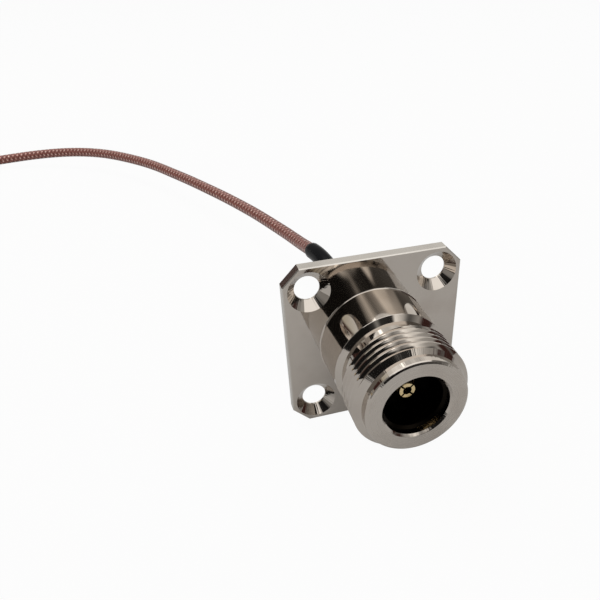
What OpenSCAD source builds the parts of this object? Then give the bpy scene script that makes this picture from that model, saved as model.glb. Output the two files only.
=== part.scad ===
// Coaxial N type panel jack with a square four-hole flange, on a short pigtail of thin coax
// that ends in a small screw-on plug. Millimetres, +Z up, mating face towards -Y.
// The jack stands on the lower edge of its flange and on its cable, which lies behind it.

/* [Flange] */
// Width and height of the square flange
flange_w = 25.4; // [24:0.1:32]
// Thickness of the flange
flange_t = 1.7; // [1.2:0.1:3]
// Leg of the cut corners
corner_cut = 2.4; // [0.5:0.1:3]
// Distance between screw hole centres, both ways
hole_pitch = 18.26; // [17.6:0.02:19.4]
// Diameter of the screw holes
hole_d = 3.54; // [2.6:0.02:3.8]
// Diameter of the countersinks at the front face
sink_d = 5.9; // [4.4:0.1:6.2]
// Depth of the countersinks
sink_depth = 1.3; // [0.5:0.05:1.4]

/* [Barrel] */
// Diameter of the plain barrel in front of the flange
barrel_d = 15.88; // [15.4:0.02:17]
// Length of the plain barrel
barrel_len = 6.9; // [5:0.1:8]
// Diameter of the relief behind the thread
relief_d = 14.2; // [13.4:0.1:14.4]
// Length of the relief, with its sloping shoulder
relief_len = 2.7; // [1.5:0.1:3.5]
// Major diameter of the coupling thread
thread_d = 15.88; // [15.4:0.02:17]
// Pitch of the coupling thread
thread_pitch = 1.058; // [0.8:0.002:1.3]
// Length of the threaded stretch
thread_len = 4.8; // [3:0.1:6]
// Diameter of the plain pilot in front of the thread
pilot_d = 13.8; // [12.6:0.1:14.2]
// Length of the plain pilot
pilot_len = 2.0; // [1:0.1:4]
// Chamfer round the rim of the pilot
pilot_edge = 0.2; // [0.05:0.01:0.4]
// Fillet round the foot of the barrel
foot_fillet = 0.2; // [0.1:0.02:0.5]

/* [Bore] */
// Diameter of the mouth
mouth_d = 8.9; // [8.6:0.1:10]
// Depth of the mouth, with its chamfer
mouth_len = 1.2; // [0.6:0.1:2]
// Chamfer round the edge of the mouth
mouth_edge = 0.3; // [0.1:0.05:0.5]
// Diameter of the mating bore
bore_d = 8.1; // [7.8:0.02:8.4]
// Depth of the mating bore from the front rim
bore_depth = 9.1; // [8:0.1:10]
// Diameter of the line bore behind the mating bore
line_d = 7; // [6:0.1:7.4]
// Length of the line bore, down to the seat of the insulators
line_len = 2.7; // [1:0.1:4]
// Diameter of the insulator seat, bored from the back
seat_d = 8.6; // [7.8:0.1:9]
// Diameter of the boss behind the flange
boss_d = 11; // [10:0.1:14]
// Length of the boss
boss_len = 3.5; // [2:0.1:8]

/* [Contact] */
// Diameter of the centre contact
contact_d = 3.04; // [2.6:0.02:3.2]
// Distance of the contact's tip behind the front rim
contact_recess = 3.6; // [2:0.1:6]
// Diameter of the contact's flat tip, in front of its taper
tip_d = 2.2; // [2:0.05:2.6]
// Length of the taper behind the tip
tip_len = 0.6; // [0.3:0.05:1]
// Diameter of the hole in the contact's tip
socket_d = 1.64; // [1.2:0.02:1.8]
// Depth of the hole in the contact's tip
socket_depth = 6; // [3:0.1:8]
// Width of the four slots in the contact's tip
slot_w = 0.3; // [0.15:0.05:0.5]
// Length of the four slots
slot_len = 4.6; // [2:0.1:7]
// Diameter of the collar that the insulators trap
collar_d = 4.2; // [3.8:0.1:5]
// Thickness of the collar
collar_t = 0.8; // [0.4:0.1:1.5]
// Diameter of the contact's tail
tail_d = 2.2; // [1.4:0.1:2.6]
// Length of the contact's tail behind the collar
tail_len = 4.6; // [3.4:0.1:5]
// Length of the front insulator
front_bead_len = 4.2; // [2:0.1:4.6]
// Length of the rear insulator
rear_bead_len = 3; // [1.6:0.1:3.4]

/* [Crimp] */
// Diameter of the crimp stem's shoulder behind the boss
shoulder_d = 10; // [8.8:0.1:10.8]
// Thickness of the shoulder
shoulder_t = 1.2; // [0.6:0.1:3]
// Wall of the thin crimp stem
stem_wall = 0.22; // [0.15:0.01:0.3]
// Length of the thin crimp stem
stem_len = 5.2; // [3:0.1:8]
// Length of the crimp ferrule
ferrule_len = 9.5; // [7:0.1:14]
// Wall of the crimp ferrule
ferrule_wall = 0.62; // [0.4:0.02:1]
// Length of the hexagonal crimp
crimp_len = 5; // [3:0.1:6]
// Wall of the heat shrink sleeve
sleeve_wall = 0.3; // [0.2:0.02:0.6]
// How far the plug's sleeve reaches on to the jacket, past the ferrule
sleeve_past = 4; // [2:0.5:8]

/* [Cable] */
// Diameter over the cable's jacket
cable_d = 2.5; // [2:0.1:3]
// Diameter over the braid
braid_d = 2.02; // [1.9:0.02:2.2]
// Diameter of the dielectric
dielectric_d = 1.52; // [1:0.02:1.6]
// Diameter of the inner conductor
core_d = 0.52; // [0.3:0.02:0.6]
// Diameter of the coil at the middle of its turns
coil_d = 27.5; // [25:0.5:32]
// Number of turns in the coil
coil_turns = 1.25; // [1.25:1:4.25]
// Thickness of the tie round the coil
tie_t = 0.5; // [0.3:0.05:0.8]
// Width of the tie
tie_w = 3; // [2:0.5:6]

/* [Plug] */
// Distance across the flats of the coupling nut
nut_af = 8; // [8:0.1:10]
// Length of the coupling nut
nut_len = 10.5; // [9:0.1:14]
// Length of the threaded mouth of the nut
nut_mouth_len = 6.6; // [5:0.1:7.5]
// Clear diameter inside the nut's thread
nut_thread_d = 5.94; // [5.9:0.02:6.4]
// Diameter of the plug body's neck, which carries the nut
neck_d = 5.4; // [5.2:0.02:5.6]
// Running clearance between neck and nut, on the radius
nut_clear = 0.08; // [0.05:0.01:0.1]
// Diameter of the outer contact
outer_contact_d = 4.56; // [4.4:0.02:4.8]
// Bore of the outer contact
outer_contact_bore = 4.12; // [3.9:0.02:4.2]
// Length of the outer contact in front of the gasket
outer_contact_len = 2.6; // [2:0.1:4]
// Diameter of the plug's pin
pin_d = 0.92; // [0.8:0.02:1]
// Diameter of the plug body's back
plug_back_d = 6.6; // [6.2:0.1:7.6]
// Length of the plug body's back
plug_back_len = 3.6; // [2:0.1:8]
// Distance across the two flats on the plug body's back
plug_flats = 5.8; // [5.6:0.1:6.1]
// Step between the nut and those flats
plug_collar = 0.8; // [0.4:0.1:1.4]
// Thickness of the snap ring
ring_t = 0.45; // [0.3:0.05:0.6]
// Thickness of the gasket
gasket_t = 0.7; // [0.4:0.05:1]

/* [Hidden] */
$fn = 64;

fit = 0.03;                 // radial gap between pieces that are pushed together
soft_gap = 0.08;            // radial gap round soft sleeves
tail_grip = 2;              // depth of the hole for the conductor in the contact's tail
core_grip = 3;              // depth of the hole for the conductor in the plug's pin

// Lengths along the jack's axis, measured forwards from the flange's front face
thread_start = barrel_len + relief_len;
thread_end = thread_start + thread_len;
front = thread_end + pilot_len;
step_len = (barrel_d - relief_d) / 2 * 0.6;
thread_depth = 0.6134 * thread_pitch;
pilot_step = (thread_d - pilot_d) / 2 * 0.45;
bore_floor = front - bore_depth;
seat_z = bore_floor - line_len;
rear = -flange_t - boss_len;
contact_tip = front - contact_recess;
collar_z = seat_z - front_bead_len;
bead_end = collar_z - rear_bead_len;
tail_end = collar_z - collar_t - tail_len;
shoulder_end = rear - shoulder_t;
stem_end = shoulder_end - stem_len;
ferrule_start = shoulder_end - 0.1;
ferrule_end = ferrule_start - ferrule_len;
jacket_start = stem_end - 0.6;

// Radii at the crimp, shared by both ends of the cable
stem_in = dielectric_d / 2 + fit;
stem_out = stem_in + stem_wall;
braid_in = stem_out + fit;
braid_out = braid_in + (braid_d - dielectric_d) / 2;
ferrule_in = max(braid_out, cable_d / 2) + 0.05;
ferrule_out = ferrule_in + ferrule_wall;
crimp_af = 2 * ferrule_out * 0.86;

// The jack's axis stands half a flange high, and the row's origin is under its middle
axis_h = flange_w / 2;
face_y = (front + ferrule_end) / 2;

// Cable: points from the ferrule to the coil, behind the flange's front face
CABLE_ROUTE = [
    [0, 22, 12.7], [0, 28, 12.2], [0, 33.5, 11.2], [-0.5, 38.5, 9.6], [-1.5, 47, 8.5],
    [-3, 53, 8], [-4.5, 59, 7.6], [-6.5, 66, 7.3], [-9, 72.5, 7.1], [-11.5, 79, 7],
    [-15, 86.5, 6.9], [-18, 93.5, 6.8], [-21.5, 100.5, 6.6], [-26, 110, 6.4],
    [-32, 119.5, 6], [-40, 130, 5.4], [-50, 138.5, 4.4], [-61, 143.5, 3.2], [-72, 145, 2.2]];
SLEEVE_TIP = [[-0.1, 34.6, 10.85], [-0.2, 35.3, 10.62], [-0.2, 35.7, 10.5]];
coil_x = -87;
coil_top_y = 145.25;
coil_y = coil_top_y - coil_d / 2;
coil_reach = 8.7;           // how far from the tangent point the tubes stop
coil_low = tie_t + 0.1;
coil_h = cable_d * (coil_turns + 1);
plug_x = coil_x - coil_d / 2;
plug_h = nut_af / 2;
tail_start_h = coil_low + coil_h - cable_d / 2 - 0.2;
CABLE_TAIL = [[11, 4.5], [13.5, 4.2]];     // from the coil's middle towards the plug, and up
tail_run = 16;              // from the coil's middle to the plug's sleeve
plug_sleeve_y = coil_y - tail_run;

// Plug lengths along its own axis, measured forwards from its mating plane
gasket_z = -outer_contact_len;
flange_back = gasket_z - gasket_t;
neck_start = flange_back - 1.2;
neck_len = nut_len - nut_mouth_len + 0.3;
plug_back = neck_start - neck_len;
plug_rear = plug_back - plug_back_len;
nut_back = plug_back + 0.3;
nut_front = nut_back + nut_len;
nut_floor = nut_front - nut_mouth_len;
groove_z = nut_back + (nut_floor - nut_back) / 2;
neck_groove_r = neck_d / 2 - 0.45;
nut_bore_r = neck_d / 2 + nut_clear;
nut_groove_r = nut_bore_r + 0.35;
plug_bead_end = plug_back + 0.6;
plug_stem_end = plug_rear - stem_len;
plug_ferrule_start = plug_rear - 0.1;
plug_ferrule_end = plug_ferrule_start - ferrule_len;
plug_jacket = plug_stem_end - 0.6;
plug_sleeve_end = plug_ferrule_end - sleeve_past;
plug_y = plug_sleeve_y + plug_sleeve_end;

echo(front = front, rear = rear, ferrule_end = ferrule_end, face_y = face_y, axis_h = axis_h);
echo(nut_front = nut_front, plug_rear = plug_rear, plug_ferrule_end = plug_ferrule_end);

module on_jack() translate([0, face_y, axis_h]) rotate([90, 0, 0]) children();
module on_plug() translate([plug_x, face_y + plug_y, plug_h]) rotate([90, 0, 0]) children();
module behind_face() translate([0, face_y, 0]) children();

// A ring between two heights
module ring(r_out, r_in, z0, z1)
    translate([0, 0, min(z0, z1)])
        difference() {
            cylinder(r = r_out, h = abs(z1 - z0));
            translate([0, 0, -1]) cylinder(r = r_in, h = abs(z1 - z0) + 2);
        }

module rod(r, z0, z1) translate([0, 0, min(z0, z1)]) cylinder(r = r, h = abs(z1 - z0));

// Round tubes swept along points
function unit(v) = v / norm(v);
function heading(path, i) =
    unit(path[min(i + 1, len(path) - 1)] - path[max(i - 1, 0)]);
function loop_points(centre, way, r, sides) =
    let (side = unit(cross(way, [0, 0, 1])), up = cross(side, way))
    [for (j = [0 : sides - 1]) let (a = 360 * (j + 0.5) / sides)
        centre + r * (cos(a) * side + sin(a) * up)];
function wall_faces(rings, sides, first, flip) =
    [for (i = [0 : rings - 2], j = [0 : sides - 1], half = [0, 1])
        let (a = first + i * sides + j, b = first + i * sides + (j + 1) % sides,
             c = b + sides, d = a + sides,
             face = half == 0 ? [a, b, c] : [a, c, d])
        flip ? [face[2], face[1], face[0]] : face];

module swept_rod(path, r, sides) {
    rings = len(path);
    points = [for (i = [0 : rings - 1]) each loop_points(path[i], heading(path, i), r, sides)];
    polyhedron(points, concat(
        wall_faces(rings, sides, 0, false),
        [[for (j = [sides - 1 : -1 : 0]) j]],
        [[for (j = [0 : sides - 1]) (rings - 1) * sides + j]]));
}

module swept_sleeve(path, outer, inner, sides) {
    rings = len(path);
    inside = rings * sides;
    last = (rings - 1) * sides;
    points = concat(
        [for (i = [0 : rings - 1]) each loop_points(path[i], heading(path, i), outer[i], sides)],
        [for (i = [0 : rings - 1]) each loop_points(path[i], heading(path, i), inner[i], sides)]);
    polyhedron(points, concat(
        wall_faces(rings, sides, 0, false),
        wall_faces(rings, sides, inside, true),
        [for (j = [0 : sides - 1], half = [0, 1]) let (k = (j + 1) % sides)
            half == 0 ? [k, j, inside + j] : [k, inside + j, inside + k]],
        [for (j = [0 : sides - 1], half = [0, 1]) let (k = (j + 1) % sides)
            half == 0 ? [last + j, last + k, inside + last + k]
                      : [last + j, inside + last + k, inside + last + j]]));
}

// Jack ------------------------------------------------------------------------------------

// Square plate with cut corners
module flange_outline() {
    h = flange_w / 2;
    c = h - corner_cut;
    polygon([[c, -h], [h, -c], [h, c], [c, h], [-c, h], [-h, c], [-h, -c], [-c, -h]]);
}

// Thread form, crest by crest, from the relief to the pilot
function thread_outline() =
    let (crest = thread_pitch / 8, flank = (thread_pitch - 2 * crest) / 2,
         r = thread_d / 2, root = r - thread_depth,
         turns = floor((thread_len - 0.4) / thread_pitch))
    [for (i = [turns : -1 : 0])
        let (z = thread_end - crest - i * thread_pitch)
        each [[root, z - crest - flank + crest / 2], [r, z - crest], [r, z],
              if (i > 0) [root, z + flank - crest / 2]]];

module barrel_outline() {
    foot = barrel_d / 2 + foot_fillet;
    polygon(concat(
        [[0, rear], [boss_d / 2, rear], [boss_d / 2, -flange_t / 2], [foot, -flange_t / 2]],
        [for (a = [0 : 30 : 90]) [foot - foot_fillet * sin(a), foot_fillet * (1 - cos(a))]],
        [[barrel_d / 2, barrel_len], [relief_d / 2, barrel_len + step_len],
         [relief_d / 2, thread_start - thread_pitch * 0.2]],
        thread_outline(),
        [[pilot_d / 2, thread_end + pilot_step], [pilot_d / 2, front - pilot_edge],
         [pilot_d / 2 - pilot_edge, front], [0, front]]));
}

module jack_bore_outline() {
    lead = (mouth_d - bore_d) / 2 * 0.8;
    polygon([
        [0, rear - 1], [seat_d / 2, rear - 1], [seat_d / 2, seat_z], [line_d / 2, seat_z],
        [line_d / 2, bore_floor], [bore_d / 2, bore_floor],
        [bore_d / 2, front - mouth_len - lead], [mouth_d / 2, front - mouth_len],
        [mouth_d / 2, front - mouth_edge], [mouth_d / 2 + mouth_edge, front],
        [mouth_d / 2 + mouth_edge, front + 1], [0, front + 1]]);
}

module screw_hole() {
    rod(hole_d / 2, -flange_t - 1, 1);
    slope = (sink_d - hole_d) / 2 / sink_depth;
    over = 0.5;
    translate([0, 0, -sink_depth])
        cylinder(r1 = hole_d / 2, r2 = sink_d / 2 + over * slope, h = sink_depth + over);
}

module connector_body() {
    color([0.72, 0.70, 0.66])
        on_jack() difference() {
            union() {
                translate([0, 0, -flange_t]) linear_extrude(flange_t) flange_outline();
                rotate_extrude() barrel_outline();
            }
            rotate_extrude() jack_bore_outline();
            for (x = [-1, 1], y = [-1, 1])
                translate([x, y, 0] * hole_pitch / 2) screw_hole();
        }
}

module front_insulator() {
    color([0.95, 0.95, 0.93])
        on_jack() ring(seat_d / 2 - fit, contact_d / 2 + fit, seat_z, collar_z);
}

module rear_insulator() {
    color([0.95, 0.95, 0.93])
        on_jack() difference() {
            rod(seat_d / 2 - fit, collar_z, bead_end);
            rod(collar_d / 2 + fit, collar_z + 1, collar_z - collar_t - fit);
            rod(tail_d / 2 + fit, collar_z + 1, bead_end - 1);
        }
}

module centre_contact() {
    color([0.93, 0.78, 0.40])
        on_jack() difference() {
            union() {
                rod(contact_d / 2, collar_z, contact_tip - tip_len);
                translate([0, 0, contact_tip - tip_len])
                    cylinder(r1 = contact_d / 2, r2 = tip_d / 2, h = tip_len);
                rod(collar_d / 2, collar_z, collar_z - collar_t);
                rod(tail_d / 2, collar_z - collar_t, tail_end);
            }
            rod(socket_d / 2, contact_tip + 1, contact_tip - socket_depth);
            for (a = [45, 135]) rotate([0, 0, a])
                translate([-contact_d, -slot_w / 2, contact_tip - slot_len])
                    cube([2 * contact_d, slot_w, slot_len + 1]);
            rod(core_d / 2 + fit, tail_end - 1, tail_end + tail_grip);
        }
}

module crimp_stem() {
    color([0.72, 0.70, 0.66])
        on_jack() difference() {
            union() {
                rod(seat_d / 2 - fit, bead_end, rear);
                rod(shoulder_d / 2, rear, shoulder_end);
                rod(stem_out, shoulder_end, stem_end);
            }
            rod(tail_d / 2 + 0.4, bead_end + 1, tail_end - 0.4);
            rod(stem_in, tail_end, stem_end - 1);
        }
}

// Crimped tube with a hexagonal middle
module crimped(z0) {
    z1 = z0 - ferrule_len;
    hex_z = z0 - 0.8 - crimp_len;
    difference() {
        union() {
            rod(ferrule_out, z0, hex_z + crimp_len);
            translate([0, 0, hex_z]) cylinder(r = crimp_af / 2 / cos(30), h = crimp_len, $fn = 6);
            rod(ferrule_out, hex_z, z1);
        }
        rod(ferrule_in, z0 + 1, z1 - 1);
    }
}

module crimp_ferrule() color([0.75, 0.73, 0.70]) on_jack() crimped(ferrule_start);

module inner_conductor() {
    color([0.85, 0.84, 0.82]) on_jack() rod(core_d / 2, tail_end + tail_grip - 0.1, jacket_start);
}

module dielectric() {
    color([0.97, 0.97, 0.95])
        on_jack() ring(dielectric_d / 2, core_d / 2 + 0.01, tail_end - 0.1, jacket_start);
}

module braid() {
    color([0.80, 0.80, 0.80])
        on_jack() ring(braid_out, braid_in, shoulder_end - 0.1, jacket_start);
}

// Cable -----------------------------------------------------------------------------------

cable_sides = 8;
sleeve_sides = 12;
cable_path = concat([[0, -jacket_start, axis_h], [0, -ferrule_end, axis_h]], CABLE_ROUTE,
    [[coil_x + coil_reach, coil_top_y, coil_low + cable_d / 2]]);
tail_path = concat(
    [[plug_x, coil_y - coil_reach, tail_start_h]],
    [for (p = CABLE_TAIL) [plug_x, coil_y - p[0], p[1]]],
    [[plug_x, plug_sleeve_y, plug_h],
     [plug_x, plug_y - plug_jacket, plug_h]]);

module cable() color([0.60, 0.40, 0.36]) behind_face() swept_rod(cable_path, cable_d / 2, cable_sides);

module cable_tail() color([0.60, 0.40, 0.36]) behind_face() swept_rod(tail_path, cable_d / 2, cable_sides);

// Outer shape of the stacked turns
module coil_section(grow) {
    r = cable_d / 2 + grow;
    translate([coil_d / 2, coil_low + cable_d / 2]) circle(r = r);
    translate([coil_d / 2, coil_low + coil_h - cable_d / 2]) circle(r = r);
    translate([coil_d / 2 - r, coil_low + cable_d / 2]) square([2 * r, coil_h - cable_d]);
}

module cable_coil() {
    color([0.60, 0.40, 0.36])
        behind_face() translate([coil_x, coil_y, 0]) rotate_extrude() coil_section(0);
}

module coil_tie() {
    color([0.10, 0.10, 0.10])
        behind_face() translate([coil_x, coil_y, 0]) rotate([0, 0, 135])
            translate([0, tie_w / 2, 0]) rotate([90, 0, 0])
                linear_extrude(tie_w) difference() {
                    coil_section(0.1 + tie_t);
                    coil_section(0.1);
                }
}

// Shrunk over a ferrule and down on to the jacket, with a rounded end
module heat_shrink() {
    over_ferrule = (ferrule_out + soft_gap) / cos(180 / sleeve_sides);
    over_cable = (cable_d / 2 + 0.05) / cos(180 / sleeve_sides);
    y0 = -ferrule_start + 0.2;
    y1 = -ferrule_end;
    path = concat([[0, y0, axis_h], [0, y1 + 0.2, axis_h], [0, y1 + 1.6, axis_h]],
        [for (i = [0 : 2]) CABLE_ROUTE[i]], SLEEVE_TIP);
    inner = [over_ferrule, over_ferrule, over_cable, over_cable, over_cable, over_cable,
             over_cable, over_cable, over_cable];
    wall = [1, 1, 1, 1, 1, 1, 1, 0.75, 0.25] * sleeve_wall;
    color([0.06, 0.06, 0.07]) behind_face() swept_sleeve(path, inner + wall, inner, sleeve_sides);
}

// Plug ------------------------------------------------------------------------------------

module plug_body() {
    color([0.90, 0.74, 0.36])
        on_plug() difference() {
            rotate_extrude() polygon([
                [0, 0], [outer_contact_d / 2, 0], [outer_contact_d / 2, flange_back],
                [neck_d / 2, flange_back], [neck_d / 2, groove_z + ring_t],
                [neck_groove_r, groove_z + ring_t], [neck_groove_r, groove_z - ring_t],
                [neck_d / 2, groove_z - ring_t], [neck_d / 2, plug_back],
                [plug_back_d / 2, plug_back], [plug_back_d / 2, plug_rear + 0.4],
                [plug_back_d / 2 - 0.4, plug_rear], [stem_out, plug_rear],
                [stem_out, plug_stem_end], [0, plug_stem_end]]);
            rod(outer_contact_bore / 2, 1, plug_bead_end);
            rod(1.1, plug_bead_end + 1, plug_rear + 1);
            rod(stem_in, plug_rear + 2, plug_stem_end - 1);
            for (side = [-1, 1])
                translate([0, side * (plug_flats + plug_back_d) / 2,
                           plug_back - plug_collar - plug_back_len / 2])
                    cube([2 * plug_back_d, plug_back_d, plug_back_len], center = true);
        }
}

module plug_insulator() {
    color([0.95, 0.95, 0.93])
        on_plug() ring(outer_contact_bore / 2 - fit, pin_d / 2 + fit, 0, plug_bead_end + 0.05);
}

module plug_pin() {
    color([0.93, 0.78, 0.40])
        on_plug() difference() {
            union() {
                rod(pin_d / 2, -0.3, plug_bead_end);
                rod(0.7, plug_bead_end, plug_rear + 1.2);
            }
            rod(core_d / 2 + fit, plug_rear, plug_rear + core_grip);
        }
}

module coupling_nut() {
    color([0.90, 0.74, 0.36])
        on_plug() difference() {
            intersection() {
                translate([0, 0, nut_back])
                    cylinder(r = nut_af / 2 / cos(30), h = nut_len, $fn = 6);
                rotate_extrude() polygon([
                    [0, nut_back], [nut_af / 2, nut_back], [nut_af / 2 / cos(30), nut_back + 0.5],
                    [nut_af / 2 / cos(30), nut_front - 0.5], [nut_af / 2, nut_front],
                    [0, nut_front]]);
            }
            rotate_extrude() polygon([
                [0, nut_back - 1], [nut_bore_r, nut_back - 1], [nut_bore_r, groove_z - ring_t],
                [nut_groove_r, groove_z - ring_t], [nut_groove_r, groove_z + ring_t],
                [nut_bore_r, groove_z + ring_t], [nut_bore_r, nut_floor],
                [nut_thread_d / 2, nut_floor], [nut_thread_d / 2, nut_front - 0.3],
                [nut_thread_d / 2 + 0.3, nut_front], [nut_thread_d / 2 + 0.3, nut_front + 1],
                [0, nut_front + 1]]);
        }
}

// Open ring in the grooves of neck and nut
module snap_ring() {
    color([0.80, 0.78, 0.72])
        on_plug() difference() {
            ring(nut_groove_r - 0.1, neck_groove_r + 0.04, groove_z - ring_t / 2, groove_z + ring_t / 2);
            translate([0, -0.6, groove_z - 1]) cube([nut_af, 1.2, 2]);
        }
}

module plug_gasket() {
    color([0.75, 0.25, 0.20])
        on_plug() ring(neck_d / 2 - 0.05, outer_contact_d / 2 + fit, gasket_z, flange_back);
}

module plug_ferrule() color([0.90, 0.74, 0.36]) on_plug() crimped(plug_ferrule_start);

module plug_conductor() {
    color([0.85, 0.84, 0.82]) on_plug() rod(core_d / 2, plug_rear + core_grip - 0.1, plug_jacket);
}

module plug_dielectric() {
    color([0.97, 0.97, 0.95])
        on_plug() ring(dielectric_d / 2, core_d / 2 + 0.01, plug_rear + 1.0, plug_jacket);
}

module plug_braid() {
    color([0.80, 0.80, 0.80]) on_plug() ring(braid_out, braid_in, plug_rear - 0.1, plug_jacket);
}

module plug_heat_shrink() {
    over_ferrule = ferrule_out + soft_gap;
    over_cable = cable_d / 2 + 0.05;
    top = plug_ferrule_start - 0.2;
    low = plug_ferrule_end;
    color([0.06, 0.06, 0.07])
        on_plug() rotate_extrude() polygon([
            [over_ferrule, top], [over_ferrule + sleeve_wall, top],
            [over_ferrule + sleeve_wall, low - 0.2], [over_cable + sleeve_wall, low - 1.6],
            [over_cable + sleeve_wall, plug_sleeve_end + 0.3], [over_cable + 0.1, plug_sleeve_end],
            [over_cable, plug_sleeve_end], [over_cable, low - 1.6], [over_ferrule, low - 0.2]]);
}

connector_body();
front_insulator();
rear_insulator();
centre_contact();
crimp_stem();
crimp_ferrule();
inner_conductor();
dielectric();
braid();
heat_shrink();
cable();
cable_coil();
cable_tail();
coil_tie();
plug_body();
coupling_nut();
snap_ring();
plug_gasket();
plug_insulator();
plug_pin();
plug_ferrule();
plug_conductor();
plug_dielectric();
plug_braid();
plug_heat_shrink();
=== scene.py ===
"""Dresses a coaxial panel jack and its pigtail, lit on a pale floor."""
import logging
import math
from collections.abc import Callable
from dataclasses import dataclass, field
from enum import Enum

import bmesh
import bpy
from mathutils import Matrix, Vector


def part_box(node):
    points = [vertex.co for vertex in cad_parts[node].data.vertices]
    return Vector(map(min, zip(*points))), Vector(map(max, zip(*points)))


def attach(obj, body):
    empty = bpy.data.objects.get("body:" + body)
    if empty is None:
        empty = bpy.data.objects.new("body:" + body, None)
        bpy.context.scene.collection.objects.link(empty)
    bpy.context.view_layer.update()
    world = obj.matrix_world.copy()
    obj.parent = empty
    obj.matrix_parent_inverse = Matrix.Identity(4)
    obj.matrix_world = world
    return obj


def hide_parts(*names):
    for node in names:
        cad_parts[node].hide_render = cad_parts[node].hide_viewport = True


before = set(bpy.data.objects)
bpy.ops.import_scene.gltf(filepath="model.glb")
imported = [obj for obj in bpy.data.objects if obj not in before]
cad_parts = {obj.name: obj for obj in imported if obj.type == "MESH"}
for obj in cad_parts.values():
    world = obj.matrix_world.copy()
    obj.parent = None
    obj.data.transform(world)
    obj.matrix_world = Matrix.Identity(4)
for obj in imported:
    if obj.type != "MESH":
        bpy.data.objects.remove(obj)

log = logging.getLogger("jack")
MM = 0.001
Point = tuple[float, float, float]
Pair = tuple[float, float]
Profile = list[Pair]
Piece = bpy.types.Object
Marks = tuple[tuple[float, float | Point], ...]

# Lengths are in millimetres where nothing else is said. These are the mating axis's height, the
# rim's distance in front of the flange's face, where that face lies along Y, where the axis
# meets it, and how far tools go past a cut.
LOW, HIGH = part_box("connector_body")
AXIS_H = (LOW.z + HIGH.z) / 2 / MM
FRONT = 16.4
FACE_Y = LOW.y / MM + FRONT
FACE = (0.0, FACE_Y, AXIS_H)
PAST = 1.0


class Body(Enum):
    """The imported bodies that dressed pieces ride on."""

    JACK = "jack"


# Shader maths --


def maths(operation: str, reflected: bool = False) -> Callable[..., "Value"]:
    """Makes a method that adds one Math node.

    Args:
        operation: the node's operation.
        reflected: put the value after the other term.

    Returns:
        The method, which takes the node's other terms.
    """
    def method(self: "Value", *others: "Value | float") -> "Value":
        """Adds the node and gives its result."""
        terms = (*others, self) if reflected else (self, *others)
        return self.tree.node("Math", dict(enumerate(terms)), operation=operation)

    return method


@dataclass(frozen=True)
class Value:
    """A number socket that adds Math nodes as it is used in an expression."""

    tree: "Tree"
    socket: bpy.types.NodeSocket

    __add__ = maths("ADD")
    __radd__ = maths("ADD", reflected=True)
    __sub__ = maths("SUBTRACT")
    __rsub__ = maths("SUBTRACT", reflected=True)
    __mul__ = maths("MULTIPLY")
    __truediv__ = maths("DIVIDE")
    __pow__ = maths("POWER")
    above = maths("GREATER_THAN")
    angle = maths("ARCTAN2")
    arcsine = maths("ARCSINE")
    floor = maths("FLOOR")
    fraction = maths("FRACT")
    root = maths("SQRT")
    sine = maths("SINE")
    size = maths("ABSOLUTE")

    def smooth(self, low: float, high: float, start: float = 0.0, end: float = 1.0) -> "Value":
        """Eases from start to end as the value goes from low to high."""
        sockets = {"Value": self, "From Min": low, "From Max": high, "To Min": start, "To Max": end}
        return self.tree.node("MapRange", sockets, "Result", interpolation_type="SMOOTHSTEP")


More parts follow.
